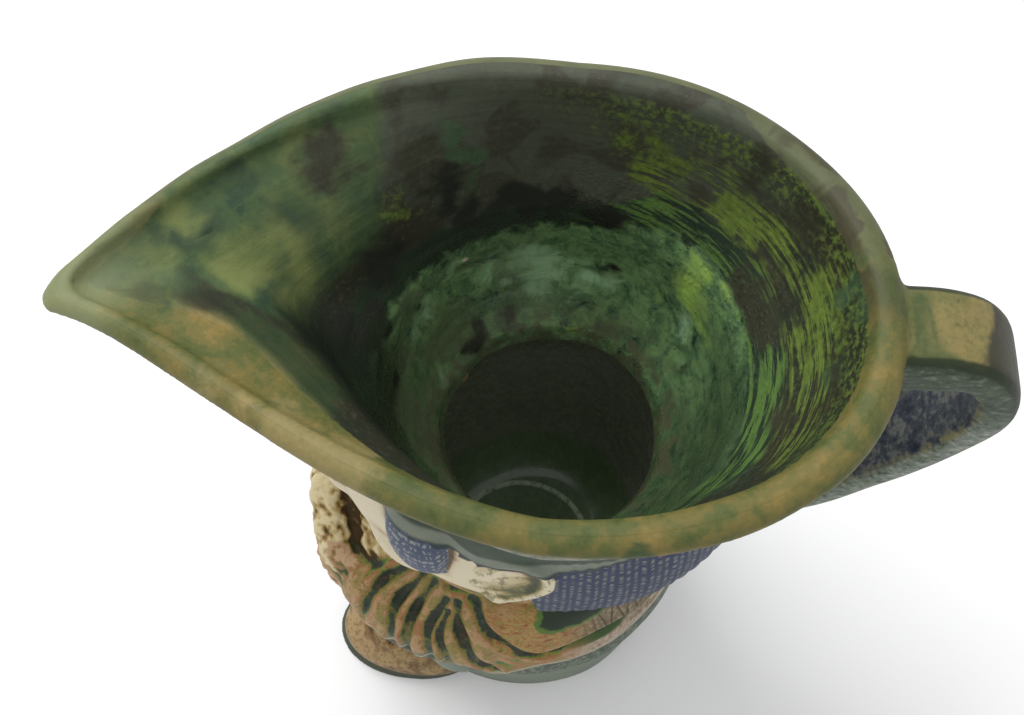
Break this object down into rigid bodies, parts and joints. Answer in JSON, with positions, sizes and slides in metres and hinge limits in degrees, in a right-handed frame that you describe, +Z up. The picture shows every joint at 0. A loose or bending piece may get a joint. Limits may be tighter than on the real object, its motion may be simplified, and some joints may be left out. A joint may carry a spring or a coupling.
{
  "type": "character jug",
  "caption": "Hollow stoneware figure jug: a seated figure holding a bundle, its hat open as a pouring mouth with a long spout over the face, and a strap handle behind.",
  "frame": {"origin": "centre of the flat foot, on the vessel's axis, where the jug stands", "axes": "+Z up; the face and the spout look along -Y and the handle stands at +Y; +X is the figure's left side"},
  "size_m": [0.1342, 0.2411, 0.226],
  "materials": {
    "glazed_stoneware": "mottled green, brown and blue glazes, glossy inside, satin outside"
  },
  "bodies": {
    "root": {"jug": "glazed_stoneware"}
  },
  "joints": []
}
